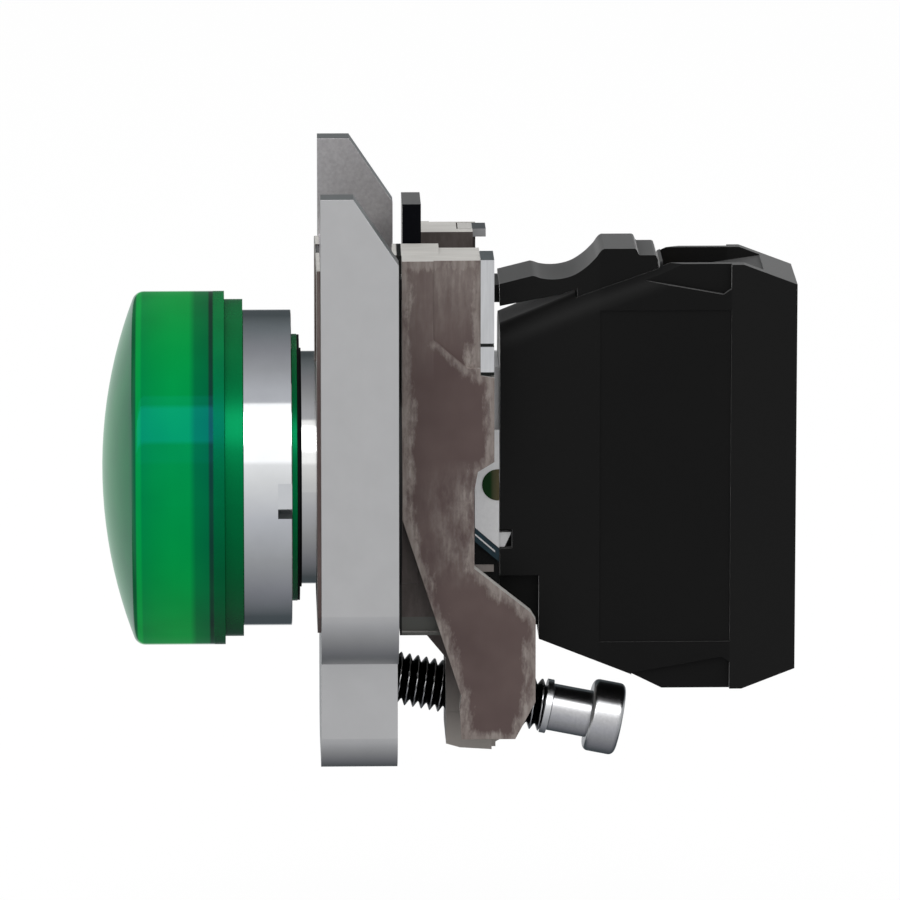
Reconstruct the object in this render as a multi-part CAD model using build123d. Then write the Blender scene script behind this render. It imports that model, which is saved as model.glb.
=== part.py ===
from build123d import *
import math
import os

# Panel pilot light for a 22 mm hole, modelled in millimetres.
# The lens faces -Y, +Z is up and X runs across the width.
# The origin is on the lens axis, where the bezel's back face meets the front of the panel.

# Neck, which sets the round sizes of the head
neck_d = 19.1
neck_wall = 1.4
neck_end_y = 8.7
neck_flange_t = 1.0
neck_flange_w = 1.45
spigot_d = 12.4
spigot_bore = 9.8
spigot_end_y = 12.9
lug_r = 7.2
lug_w = 3.0
lug_t = 1.2
lug_gap = 0.2

# Lens head
bezel_w = 3.4
bezel_t = 3.95
bezel_edge_r = 0.35
bezel_notch_depth = 2.0
bezel_notch_len = 1.15
bezel_notch_h = 2.9
bezel_d = neck_d + 2 * bezel_w
carrier_step = 0.875
carrier_d = bezel_d + 2 * carrier_step
lens_step = 0.675
lens_d = carrier_d + 2 * lens_step
lens_dome_r = 38.8
lens_len = 10.05
lens_edge_r = 1.0
lens_wall = 1.7
carrier_t = 1.5
carrier_spigot_len = 2.6
thread_relief_y = -6.3
thread_relief_len = 0.35
thread_relief_depth = 0.5
carrier_spigot_wall = 1.5
diffuser_wall = 1.0
diffuser_seat = 0.3
diffuser_gap = 0.25
locating_ring_w = 1.4
locating_ring_t = 0.45
locating_seat_w = 1.2
locating_seat_t = 0.6
seal_w = 1.35
seal_t = 0.2
seal_lip_w = 0.25
seal_lip_t = 0.15

# Clamping plate behind the panel
panel_t = 2.0
panel_slack = 0.02
panel_min = 1.0
panel_max = 6.0
facing_t = 0.3
facing_half_w = 12.4
facing_top_z = 18.8
facing_far_top_z = 16.9
facing_bottom_z = -11.4
facing_corner = 1.6
facing_knee_x = -2.75
facing_notch_x = 2.75
facing_notch_w = 3.7
facing_notch_h = 0.7
plate_half_w = 15.0
plate_depth = 6.25
plate_wall = 2.4
plate_web_t = 2.3
plate_top_z = 25.1
plate_web_top_z = 17.0
plate_bottom_z = -14.1
plate_corner_r = 5.0
ear_flat = 2.62
ear_slope_z = 19.7
lobe_half_w = 8.0
lobe_top_z = -14.3
lobe_bottom_z = -24.0
lobe_corner_r = 3.0

# Die-cast fixing collar
collar_half_w = 8.7
leg_t = 1.3
sleeve_w = 1.45
sleeve_front_y = 6.2
block_front_y = 8.75
block_rear_y = 12.7
block_top_z = 15.6
block_bottom_z = -12.35
block_band_h = 0.25
block_band_proud = 0.5
shelf_front_y = 6.1
shelf_rear_y = 12.0
shelf_t = 1.7
shelf_half_w = 8.2
rail_top_z = 18.84
rail_t = 1.54
rail_rear_y = 15.3
rail_far_rear_y = 15.0
rail_gap_far = 3.9
rail_gap_near = 2.9
ledge_rise = 0.36
ledge_w = 0.5
ledge_ramp_w = 2.6
boss_half_w = 4.2
boss_front_y = 12.6
boss_rear_y = 16.35
boss_top_z = -13.2
boss_bottom_z = -22.93
boss_step_z = -19.72
nut_rear_y = 19.2
nut_bottom_z = -20.3
strip_t = 1.1
strip_rise = 0.06
strip_bottom_z = 9.4
strip_bend_z = 12.0
strip_w = 3.95
strip_foot_w = 1.6
far_strip_w = 2.6
far_strip_x = 6.6
far_strip_h = 0.67
far_strip_front_y = 13.8

# Locking ring with its lever
ring_front_y = 9.08
ring_t = 1.52
ring_d = 15.6
lever_half_w = 2.7
lever_top_z = 22.4
lever_swing_deg = 22.0

# Clamping screw, tilted so that its head drops towards the rear
screw_tilt_deg = 11.4
screw_axis_y = 10.57
screw_axis_z = -18.2
screw_thread_d = 4.3
screw_tip_y = 7.8
screw_thread_len = 13.15
screw_shank_d = 3.9
screw_shank_len = 3.8
screw_head_d = 6.0
screw_head_len = 2.7
screw_head_edge_r = 0.5
screw_groove_d = 3.0
screw_ring_t = 0.5
screw_ring_d = 4.5
screw_cross_w = 0.9
screw_cross_len = 3.4
screw_cross_depth = 1.5

# Light block
block_half_w = 4.4
shell_wall = 1.1
shell_front_y = 17.0
shell_rear_y = 41.2
shell_half_h = 17.6
shell_low_extra = 0.25
shell_rear_drop = 1.7
shell_step_z = 8.2
shell_shoulder_y = 23.6
shell_shoulder_drop = 5.1
label_recess = 0.12
cheek_recess = 0.5
shell_shoulder_r = 2.0
terminal_drop = 4.8
terminal_bar_y = 31.0
terminal_bar_t = 1.0
terminal_open = 2.4
washer_t = 1.0
washer_half_w = 2.9
washer_half_h = 2.5
terminal_screw_d = 3.5
terminal_head_d = 5.2
terminal_head_len = 2.0
terminal_screw_len = 6.6
terminal_slot_w = 0.8
access_hole_d = 5.8

# Release latch
latch_half_w = 3.3
latch_pin_y = 26.3
latch_pin_drop = 3.1
latch_boss_r = 1.5
latch_pin_d = 1.6
latch_pin_bite = 0.35

# Inside pieces
tube_d = 8.4
tube_bore = 6.4
tube_front_y = 3.5
led_d = 5.0
led_front_y = 2.2
carrier_plate_t = 1.6
carrier_back_half_w = 3.4
board_t = 1.2
resistor_d = 2.2
capacitor_d = 6.0
capacitor_t = 2.3

# Clearances
run_gap = 0.05
slide_gap = 0.1
free_gap = 0.2

panel_back_y = panel_t + panel_slack
plate_front_y = panel_back_y + facing_t
plate_rear_y = plate_front_y + plate_depth
travel_in = panel_t - panel_min
travel_out = panel_max - panel_t
carrier_front_y = -bezel_t - carrier_t
neck_flange_d = neck_d + 2 * neck_flange_w
locating_ring_d = neck_d + 2 * locating_ring_w
locating_seat_d = neck_d + 2 * locating_seat_w
seal_d = neck_d + 2 * seal_w
seal_lip_d = neck_d + 2 * seal_lip_w
sleeve_d = neck_d + 2 * sleeve_w
plate_hole_d = sleeve_d + 2 * free_gap
shell_rear_half_h = shell_half_h - shell_rear_drop
shell_low_z = -shell_half_h - shell_low_extra
shell_shoulder_z = shell_half_h - shell_shoulder_drop
terminal_z = shell_half_h - terminal_drop
latch_pin_z = shell_half_h - latch_pin_drop
ledge_top_z = rail_top_z + ledge_rise
strip_top_z = rail_top_z + strip_rise
lens_apex_y = carrier_front_y - lens_len


def box(x0, x1, y0, y1, z0, z1):
    """A block between two corners."""
    size = (x1 - x0, y1 - y0, z1 - z0)
    middle = ((x0 + x1) / 2, (y0 + y1) / 2, (z0 + z1) / 2)
    return Pos(*middle) * Box(*size)


def rod(d, y0, y1, x=0.0, z=0.0):
    """A round bar along Y."""
    disc = Plane((x, y0, z), x_dir=(1, 0, 0), z_dir=(0, 1, 0)) * Circle(d / 2)
    return extrude(disc, amount=y1 - y0, dir=(0, 1, 0))


def side_plate(points, x0, x1):
    """A plate with an outline in Y and Z, between two places across the width."""
    face = Plane.YZ.offset(x0) * Polygon(*points, align=None)
    return extrude(face, amount=x1 - x0, dir=(1, 0, 0))


def front_plate(points, y0, y1):
    """A plate with an outline in X and Z, between two depths."""
    plane = Plane((0, y0, 0), x_dir=(1, 0, 0), z_dir=(0, -1, 0))
    face = plane * Polygon(*points, align=None)
    return extrude(face, amount=y1 - y0, dir=(0, 1, 0))


def turned(points):
    """A turned piece from its half section, given as radius and Y."""
    return revolve(Polygon(*points, align=None), axis=Axis.Y)


def mirrored(shape):
    """The same piece on the other side of the width."""
    return mirror(shape, about=Plane.YZ)


def both_sides(shape):
    """A form and its mirror across the width."""
    return shape + mirrored(shape)


def dome(radius, apex_y):
    """The ball whose front point is on the axis at the apex."""
    return Pos(0, apex_y + radius, 0) * Sphere(radius)


def lens_cap():
    """Screw-on lens: a shallow dome on a deep skirt."""
    outer = rod(lens_d, lens_apex_y - 1, carrier_front_y) & dome(lens_dome_r, lens_apex_y)
    rim = outer.edges().filter_by(GeomType.CIRCLE).sort_by(Axis.Y)[0]
    outer = fillet(rim, lens_edge_r)
    hollow = rod(lens_d - 2 * lens_wall, lens_apex_y - 1, carrier_front_y)
    hollow = hollow & dome(lens_dome_r - lens_wall, lens_apex_y + lens_wall)
    return outer - hollow


def spigot_r():
    """Outer radius of the carrier's threaded spigot inside the lens skirt."""
    return lens_d / 2 - lens_wall - slide_gap


def lens_carrier():
    """Green holder that the lens screws on to, with a step behind the lens."""
    bore_r = spigot_r() - carrier_spigot_wall
    front_y = carrier_front_y - carrier_spigot_len
    relief_r = spigot_r() - thread_relief_depth
    inner_r = neck_d / 2 - neck_wall
    profile = [
        (bore_r, front_y),
        (spigot_r(), front_y),
        (spigot_r(), thread_relief_y - thread_relief_len),
        (relief_r, thread_relief_y - thread_relief_len),
        (relief_r, thread_relief_y),
        (spigot_r(), thread_relief_y),
        (spigot_r(), carrier_front_y),
        (carrier_d / 2, carrier_front_y),
        (carrier_d / 2, -bezel_t),
        (inner_r, -bezel_t),
        (inner_r, carrier_front_y + diffuser_seat),
        (bore_r, carrier_front_y + diffuser_seat),
    ]
    return turned(profile)


def diffuser():
    """Milky cup that spreads the lamp's light, wide behind the lens and narrow in the carrier."""
    narrow_r = spigot_r() - carrier_spigot_wall - run_gap
    wide_r = spigot_r() - free_gap
    step_y = carrier_front_y - carrier_spigot_len - run_gap
    back_y = carrier_front_y + diffuser_seat
    dome_r = lens_dome_r - lens_wall - diffuser_gap
    apex_y = lens_apex_y + lens_wall + diffuser_gap
    outer = rod(2 * wide_r, apex_y - 1, step_y) & dome(dome_r, apex_y)
    outer += rod(2 * narrow_r, step_y - diffuser_wall, back_y)
    inner = rod(2 * (wide_r - diffuser_wall), apex_y - 1, step_y - diffuser_wall)
    inner = inner & dome(dome_r - diffuser_wall, apex_y + diffuser_wall)
    return outer - inner - rod(2 * (narrow_r - diffuser_wall), step_y - 2 * diffuser_wall, back_y + 1)


def bezel():
    """Chromed ring that sits on the front of the panel."""
    ring = rod(bezel_d, -bezel_t, 0)
    ring = fillet(ring.edges().filter_by(GeomType.CIRCLE), bezel_edge_r)
    ring -= rod(neck_d + 2 * run_gap, -bezel_t - 1, 1)
    ring -= rod(neck_flange_d + 2 * run_gap, -bezel_t - 1, -bezel_t + neck_flange_t)
    ring -= rod(locating_ring_d + 2 * run_gap, -locating_seat_t, 1)
    notch = box(
        bezel_d / 2 - bezel_notch_depth,
        bezel_d,
        -bezel_notch_len,
        1,
        -bezel_notch_h / 2,
        bezel_notch_h / 2,
    )
    return ring - both_sides(notch)


def locating_ring():
    """Green ring that centres the head in the panel hole."""
    ring = rod(locating_ring_d, 0, locating_ring_t) + rod(locating_seat_d, -locating_seat_t, 0)
    return ring - rod(neck_d + 2 * run_gap, -1, 2)


def panel_seal():
    """Rubber seal round the neck."""
    front_y = locating_ring_t
    seal = rod(seal_d, front_y, front_y + seal_t)
    seal += rod(seal_lip_d, front_y, front_y + seal_t + seal_lip_t)
    return seal - rod(neck_d + 2 * run_gap, -1, 3)


def neck_sleeve():
    """Threadless neck with a rear spigot and two bayonet lugs."""
    shoulder_y = neck_end_y - neck_wall
    profile = [
        (neck_d / 2 - neck_wall, -bezel_t),
        (neck_flange_d / 2, -bezel_t),
        (neck_flange_d / 2, -bezel_t + neck_flange_t),
        (neck_d / 2, -bezel_t + neck_flange_t),
        (neck_d / 2, neck_end_y),
        (spigot_d / 2, neck_end_y),
        (spigot_d / 2, spigot_end_y),
        (spigot_bore / 2, spigot_end_y),
        (spigot_bore / 2, shoulder_y),
        (neck_d / 2 - neck_wall, shoulder_y),
    ]
    neck = turned(profile)
    lug_y = ring_front_y + ring_t + lug_gap
    lug = box(spigot_d / 2 - 0.5, lug_r, lug_y, lug_y + lug_t, -lug_w / 2, lug_w / 2)
    lug = lug & rod(2 * lug_r, lug_y, lug_y + lug_t)
    return neck + both_sides(lug)


def window(y0, y1):
    """The opening for the neck, with the notch above it that clears the collar's shelf."""
    hole = rod(plate_hole_d, y0, y1)
    half_w = shelf_half_w + free_gap
    notch = box(-half_w, half_w, y0, y1, 0, block_top_z + shelf_t + slide_gap)
    return hole + notch


def plate_facing():
    """Thin pressed facing on the front of the clamping plate, with a falling top and a key notch."""
    w = facing_half_w
    near_x = facing_notch_x + facing_notch_w / 2
    far_x = facing_notch_x - facing_notch_w / 2
    notch_z = facing_top_z - facing_notch_h
    outline = [
        (w, facing_bottom_z + facing_corner),
        (w, facing_top_z),
        (near_x, facing_top_z),
        (near_x, notch_z),
        (far_x, notch_z),
        (far_x, facing_top_z),
        (facing_knee_x, facing_top_z),
        (-w, facing_far_top_z),
        (-w, facing_bottom_z + facing_corner),
        (facing_corner - w, facing_bottom_z),
        (w - facing_corner, facing_bottom_z),
    ]
    sheet = front_plate(outline, panel_back_y, plate_front_y)
    return sheet - window(panel_back_y - 1, plate_front_y + 1)


def ear_outline():
    """Side view of the plate's wall: a flat top, then a slope to the rear."""
    return [
        (plate_front_y, plate_bottom_z),
        (plate_rear_y, plate_bottom_z),
        (plate_rear_y, ear_slope_z),
        (plate_front_y + ear_flat, plate_top_z),
        (plate_front_y, plate_top_z),
    ]


def clamp_plate():
    """Die-cast plate with two ears, pushed forward by the clamping screw."""
    w = plate_half_w
    tub = box(-w, w, plate_front_y, plate_rear_y, plate_bottom_z, plate_top_z)
    low_edges = tub.edges().filter_by(Axis.Y).sort_by(Axis.Z)[:2]
    tub = fillet(low_edges, plate_corner_r)
    inner_w = w - plate_wall
    web_rear_y = plate_front_y + plate_web_t
    trough = box(-inner_w, inner_w, web_rear_y, plate_rear_y + 1, plate_bottom_z + plate_wall, 40)
    inner_r = plate_corner_r - plate_wall
    trough = fillet(trough.edges().filter_by(Axis.Y).sort_by(Axis.Z)[:2], inner_r)
    tub -= trough
    leg_gap = collar_half_w + free_gap
    tub -= box(-leg_gap, leg_gap, web_rear_y, plate_rear_y + 1, plate_bottom_z - 1, 0)
    tub -= box(-inner_w, inner_w, plate_front_y - 1, web_rear_y + 1, plate_web_top_z, 40)
    tub = tub & side_plate(ear_outline(), -w, w)
    lobe = box(-lobe_half_w, lobe_half_w, plate_front_y, plate_rear_y, lobe_bottom_z, lobe_top_z)
    lobe = fillet(lobe.edges().filter_by(Axis.Y).sort_by(Axis.Z)[:2], lobe_corner_r)
    web = box(-lobe_half_w, lobe_half_w, plate_front_y, web_rear_y, lobe_top_z, plate_bottom_z + 1)
    notch_w = boss_half_w + free_gap
    notch_z = lobe_top_z - 2.1
    notch = box(-notch_w, notch_w, web_rear_y, plate_rear_y + 1, notch_z, lobe_top_z + 1)
    tub = tub + web + (lobe - notch)
    tub -= window(plate_front_y - 1, web_rear_y + 1)
    return tub - screw_pocket()


def screw_z(y):
    """Height of the clamping screw's axis at a depth."""
    return screw_axis_z - (y - screw_axis_y) * math.tan(math.radians(screw_tilt_deg))


def screw_pocket():
    """Slot in the plate's back that the screw's end presses in, with room for its tilt."""
    drop = math.tan(math.radians(screw_tilt_deg))
    half_w = screw_thread_d / 2 + free_gap
    floor_y = screw_tip_y - screw_thread_d / 2 * math.sin(math.radians(screw_tilt_deg)) - run_gap
    z_high = screw_z(plate_rear_y) + travel_in * drop + half_w + free_gap
    z_low = screw_z(plate_rear_y) - travel_out * drop - half_w - free_gap
    return box(-half_w, half_w, floor_y, plate_rear_y + 1, z_low, z_high)


def leg_outline():
    """Side view of the collar's leg, from its top edge round the screw end."""
    return [
        (8.93, rail_top_z),
        (rail_rear_y, rail_top_z),
        (rail_rear_y, strip_bottom_z),
        (16.42, 9.22),
        (16.42, 2.25),
        (15.08, 1.42),
        (14.8, -0.1),
        (14.8, -6.63),
        (19.37, -10.3),
        (19.8, -11.0),
        (19.8, -17.8),
        (18.15, -20.92),
        (13.74, -20.92),
        (13.6, -18.3),
        (13.74, -17.3),
        (8.95, -2.52),
    ]


def collar_leg():
    """One side wall of the collar, with the shallow panel at its upper rear."""
    inner_x = collar_half_w - leg_t
    leg = side_plate(leg_outline(), inner_x, collar_half_w)
    panel = [(11.49, 19.5), (11.49, 12.34), (14.2, 10.0), (15.5, 10.0), (15.5, 19.5)]
    return leg - side_plate(panel, collar_half_w - 0.3, collar_half_w + 1)


def screw_frame():
    """Plane at the screw's end, looking along its axis to the head."""
    tilt = math.radians(screw_tilt_deg)
    axis = (0, math.cos(tilt), -math.sin(tilt))
    return Plane((0, screw_tip_y, screw_z(screw_tip_y)), x_dir=(1, 0, 0), z_dir=axis)


def screw_rod(d, s0, s1):
    """A round bar along the clamping screw's axis, from one place on it to another."""
    return screw_frame() * Pos(0, 0, s0) * Cylinder(
        d / 2, s1 - s0, align=(Align.CENTER, Align.CENTER, Align.MIN)
    )


def lever_sweep():
    """The slot that the lever swings in, towards -X."""
    swing = math.radians(lever_swing_deg + 1.0)
    half_w = lever_half_w + slide_gap
    reach = lever_top_z + 10

    def swung(x, z):
        return (x * math.cos(swing) - z * math.sin(swing), x * math.sin(swing) + z * math.cos(swing))

    outline = [
        (half_w, 0),
        (half_w, reach),
        (-reach, reach),
        swung(-half_w, reach),
        swung(-half_w, 0),
    ]
    return front_plate(outline, block_front_y - 1, ring_front_y + ring_t + slide_gap)


def screw_boss():
    """Boss round the clamping screw, with a rounded bottom, a narrower foot and a small tab behind."""
    z = boss_bottom_z
    upper = box(-boss_half_w, boss_half_w, boss_front_y, boss_rear_y, boss_step_z, boss_top_z)
    foot = [
        (boss_front_y, boss_step_z),
        (boss_front_y, z + 0.5),
        (boss_front_y + 1.15, z + 0.17),
        (boss_rear_y, z),
        (boss_rear_y, boss_step_z),
    ]
    tab = [
        (boss_rear_y - 0.6, z + 2.2),
        (boss_rear_y + 1.0, z + 2.2),
        (boss_rear_y + 1.0, z + 0.75),
        (boss_rear_y + 0.35, z + 0.4),
        (boss_rear_y + 0.35, z),
        (boss_rear_y - 0.6, z),
    ]
    foot_x = boss_half_w - 0.12
    return upper + side_plate(foot, -foot_x, foot_x) + side_plate(tab, -foot_x + 1, foot_x - 1)


def collar_body():
    """Die-cast collar: sleeve, block, two legs, two rails and the screw boss."""
    inner_x = collar_half_w - leg_t
    body = box(-inner_x, inner_x, block_front_y, block_rear_y, block_bottom_z, block_top_z)
    band_x = inner_x + block_band_proud
    band_z = block_bottom_z + block_band_h
    body += box(-band_x, band_x, block_front_y, block_rear_y, block_bottom_z, band_z)
    shelf_top = block_top_z + shelf_t
    body += box(-shelf_half_w, shelf_half_w, shelf_front_y, shelf_rear_y, block_top_z, shelf_top)
    body += rod(sleeve_d, sleeve_front_y, block_front_y + 1.5)
    body += both_sides(collar_leg())
    rail_low = rail_top_z - rail_t
    body += box(rail_gap_near, collar_half_w - 0.3, block_front_y + 0.2, rail_rear_y, rail_low, rail_top_z)
    far_x = collar_half_w - 0.3
    body += box(-far_x, -rail_gap_far, block_front_y + 0.2, rail_far_rear_y, rail_low, rail_top_z)
    ramp_x = rail_gap_near + ledge_w
    ledge = [
        (rail_gap_near, block_top_z),
        (rail_gap_near, ledge_top_z),
        (ramp_x, ledge_top_z),
        (ramp_x + ledge_ramp_w, rail_top_z),
        (ramp_x + ledge_ramp_w, block_top_z),
    ]
    body += front_plate(ledge, 8.2, shelf_rear_y)
    web = [
        (10.3, block_bottom_z + 0.5),
        (10.3, block_bottom_z),
        (boss_front_y + 0.2, -15.4),
        (14.0, -15.4),
        (14.0, block_bottom_z + 0.5),
    ]
    body += side_plate(web, -boss_half_w, boss_half_w)
    body += screw_boss()
    nut = [
        (13.9, boss_top_z),
        (nut_rear_y, boss_top_z),
        (nut_rear_y, -17.4),
        (nut_rear_y - 1.6, nut_bottom_z),
        (13.9, nut_bottom_z),
    ]
    body += side_plate(nut, -inner_x - 0.5, inner_x + 0.5)
    body -= rod(neck_d + 2 * slide_gap, shelf_front_y - 1, block_front_y)
    body -= rod(ring_d + 2 * slide_gap, block_front_y - 0.1, ring_front_y + ring_t + slide_gap)
    body -= rod(2 * lug_r + 0.3, block_front_y, block_rear_y + 1)
    body -= lever_sweep()
    body -= far_strip(slide_gap)
    return body - screw_rod(screw_thread_d + 2 * run_gap, -1, 30)


def locking_ring():
    """Ring that locks the head's bayonet lugs, with its lever on top."""
    rear_y = ring_front_y + ring_t
    ring = rod(ring_d, ring_front_y, rear_y)
    arm = box(-lever_half_w, lever_half_w, ring_front_y, rear_y, 0, lever_top_z)
    return ring + arm - rod(spigot_d + 2 * slide_gap, ring_front_y - 1, rear_y + 1)


def far_strip(gap=0.0):
    """Short steel strip let into the end of the far rail's top."""
    x = far_strip_x
    half_w = far_strip_w / 2 + gap
    rear_y = rail_far_rear_y + strip_t
    low_z = rail_top_z - far_strip_h - gap
    return box(-x - half_w, -x + half_w, far_strip_front_y - gap, rear_y, low_z, rail_top_z)


def rail_strip():
    """Steel strip on the rear of the near rail, with a narrow foot below a bend line."""
    x_out = collar_half_w - 0.15
    x_in = x_out - strip_w
    rear_y = rail_rear_y + strip_t
    upper = box(x_in, x_out, rail_rear_y, rear_y, strip_bend_z, strip_top_z)
    lower = box(x_out - strip_foot_w, x_out, rail_rear_y, rear_y, strip_bottom_z, strip_bend_z)
    line = box(x_in - 1, x_out + 1, rear_y - 0.3, rear_y + 1, strip_bend_z - 0.25, strip_bend_z)
    return upper + lower - line


def clamp_screw():
    """Clamping screw with a grooved shank and a cross recess in its head."""
    thread_end = screw_thread_len
    head_start = thread_end + screw_shank_len
    head_end = head_start + screw_head_len
    thread = screw_rod(screw_thread_d, 0, thread_end)
    thread = chamfer(thread.edges().filter_by(GeomType.CIRCLE).sort_by(Axis.Y)[0], 0.5)
    shank = screw_rod(screw_shank_d, thread_end, head_start)
    head = screw_rod(screw_head_d, head_start, head_end)
    head = fillet(head.edges().filter_by(GeomType.CIRCLE), screw_head_edge_r)
    groove = screw_rod(screw_thread_d + 1, thread_end, thread_end + screw_ring_t + slide_gap)
    groove -= screw_rod(screw_groove_d, thread_end - 1, thread_end + 2)
    middle = screw_frame() * Pos(0, 0, head_end)
    cross = middle * Box(screw_cross_len, screw_cross_w, 2 * screw_cross_depth)
    cross += middle * Box(screw_cross_w, screw_cross_len, 2 * screw_cross_depth)
    return thread + shank + head - groove - cross


def screw_ring():
    """Open retaining ring in the groove of the clamping screw."""
    s0 = screw_thread_len + slide_gap / 2
    ring = screw_rod(screw_ring_d, s0, s0 + screw_ring_t)
    ring -= screw_rod(screw_groove_d + 2 * run_gap, s0 - 1, s0 + 2)
    split = screw_frame() * Pos(0, screw_ring_d / 2, s0) * Box(1.2, screw_ring_d, 4)
    return ring - split


def shell_outline():
    """Side view of the light block's two shells."""
    h = shell_half_h
    low = shell_low_z
    return [
        (shell_front_y, shell_shoulder_z),
        (shell_front_y, -shell_step_z),
        (20.2, -shell_step_z),
        (20.2, low + 4.3),
        (27.7, low + 1.3),
        (30.3, low),
        (36.85, low),
        (shell_rear_y, low + shell_rear_drop),
        (shell_rear_y, shell_rear_half_h - 1.1),
        (shell_rear_y - 0.8, shell_rear_half_h + 0.35),
        (36.85, h),
        (30.3, h),
        (29.75, h - 0.25),
        (shell_shoulder_y, h - 2.4),
    ]


def terminal_chamber(side):
    """Space for one terminal: a wire mouth above, a roof over the screw, and its access hole."""
    inner_x = block_half_w - shell_wall
    low = terminal_z - washer_half_w - 0.5
    front = terminal_bar_y - 0.2
    roof_y = terminal_bar_y + terminal_bar_t + terminal_open - 0.1
    roof_z = terminal_z + terminal_head_d / 2 + free_gap
    mouth = [
        (front, side * low),
        (roof_y, side * low),
        (roof_y, side * (shell_half_h + 1)),
        (30.3, side * (shell_half_h + 1)),
        (30.3, side * (shell_half_h - 0.6)),
        (front, side * (shell_half_h - 2.0)),
    ]
    chamber = side_plate(mouth, -inner_x, inner_x)
    room = [
        (roof_y - 0.5, side * low),
        (39.8, side * low),
        (39.8, side * roof_z),
        (roof_y - 0.5, side * roof_z),
    ]
    chamber += side_plate(room, -inner_x, inner_x)
    recess = [
        (roof_y - 0.5, side * (roof_z + 0.6)),
        (38.5, side * (roof_z + 1.3)),
        (38.7, side * (shell_half_h + 1)),
        (roof_y - 0.5, side * (shell_half_h + 1)),
    ]
    chamber += side_plate(recess, -inner_x, inner_x)
    chamber += rod(access_hole_d, 39.0, shell_rear_y + 1, z=side * terminal_z)
    chamber += rod(terminal_screw_d + 2 * free_gap, 28.3, front + 1, z=side * terminal_z)
    foot_z = side * (low + 1.0)
    half = 0.5 + slide_gap
    chamber += box(-2.1, 2.1, 28.0, front + 1, foot_z - half, foot_z + half)
    return chamber


def shell_pair():
    """The light block's hollow body before it is split down its middle."""
    body = side_plate(shell_outline(), -block_half_w, block_half_w)
    front_edges = [
        e for e in body.edges().filter_by(Axis.X, reverse=True)
        if abs(e.center().Y - (shell_front_y + shell_shoulder_y) / 2) < 0.01 and e.center().Z > 0
    ]
    body = fillet(front_edges, shell_shoulder_r)
    inner_x = block_half_w - shell_wall
    body += box(-inner_x, inner_x, shell_front_y, 20.4, 5.0 - shell_half_h, 0.1 - shell_step_z)
    cavity = [
        (18.2, shell_half_h - 8.4),
        (shell_shoulder_y, shell_half_h - 6.0),
        (29.4, shell_half_h - 6.0),
        (29.4, 6.0 - shell_half_h),
        (21.6, 6.0 - shell_half_h),
        (21.6, 1.2 - shell_step_z),
        (18.2, 1.2 - shell_step_z),
    ]
    body -= side_plate(cavity, -inner_x, inner_x)
    middle_z = terminal_z - washer_half_w - 0.5 - shell_wall - free_gap
    body -= box(-inner_x, inner_x, 29.0, 39.8, -middle_z, middle_z)
    body -= terminal_chamber(1) + terminal_chamber(-1)
    floor_z = latch_pin_z - latch_boss_r - free_gap
    top_z = shell_half_h + 2
    bed = [
        (23.2, floor_z),
        (28.1, floor_z),
        (28.9, shell_half_h - 1.6),
        (30.05, shell_half_h - 0.8),
        (30.05, top_z),
        (23.2, top_z),
    ]
    bed_x = latch_half_w + slide_gap
    body -= side_plate(bed, -bed_x, bed_x)
    body -= rod(tube_d + 2 * slide_gap, shell_front_y - 1, 19.0)
    label = box(block_half_w - label_recess, block_half_w + 1, 25.15, 35.85, -13.85, 13.85)
    body -= both_sides(label)
    for side in (1, -1):
        cheek = [
            (27.8, side * 16.45),
            (35.2, side * 15.13),
            (35.85, side * 15.6),
            (35.85, side * 18.6),
            (27.8, side * 18.6),
        ]
        body -= both_sides(side_plate(cheek, block_half_w - cheek_recess, block_half_w + 1))
    snap = box(inner_x, block_half_w + 1, shell_front_y - 1, shell_front_y + 1.0, -5.95, -4.35)
    body -= both_sides(snap)
    reach = latch_pin_reach() + run_gap
    body -= along_x(latch_pin_d + 2 * run_gap, -reach, reach)
    return body


def latch_pin_reach():
    """Half the length of the latch's pin, with a short bite in each cheek of the shell."""
    return latch_half_w + slide_gap + latch_pin_bite


def along_x(d, x0, x1):
    """A round bar across the width at the latch's pivot."""
    disc = Plane((x0, latch_pin_y, latch_pin_z), x_dir=(0, 1, 0), z_dir=(1, 0, 0)) * Circle(d / 2)
    return extrude(disc, amount=x1 - x0, dir=(1, 0, 0))


def half_of(body, side):
    """One half of a body that is split down its middle."""
    return body & (box(0, 30, 0, 60, -40, 40) if side > 0 else box(-30, 0, 0, 60, -40, 40))


def release_latch():
    """Sprung latch on top of the light block, with a hook in front and a thumb tab behind."""
    z = shell_half_h
    outline = [
        (17.0, z - 3.54),
        (21.97, z - 2.6),
        (23.3, z - 2.1),
        (23.4, latch_pin_z - 0.3),
        (27.7, latch_pin_z - 0.3),
        (28.6, z - 1.3),
        (29.83, z - 0.3),
        (29.88, z + 0.2),
        (29.62, z + 0.62),
        (28.37, z + 0.62),
        (28.06, z + 1.16),
        (25.5, z + 1.16),
        (24.78, z + 0.37),
        (24.05, z - 0.34),
        (23.11, z - 0.97),
        (22.17, z - 1.27),
        (21.23, z - 1.35),
        (20.4, z - 1.26),
        (19.64, z - 1.05),
        (16.98, z - 1.72),
    ]
    latch = side_plate(outline, -latch_half_w, latch_half_w)
    latch += along_x(2 * latch_boss_r, -latch_half_w, latch_half_w)
    latch += box(-2.4, 2.4, 16.2, 17.5, z - 3.4, z - 1.95)
    return latch - along_x(latch_pin_d + 2 * run_gap, -5, 5)


def latch_pin():
    """Steel pin that the latch turns on."""
    return along_x(latch_pin_d, -latch_pin_reach(), latch_pin_reach())


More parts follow.
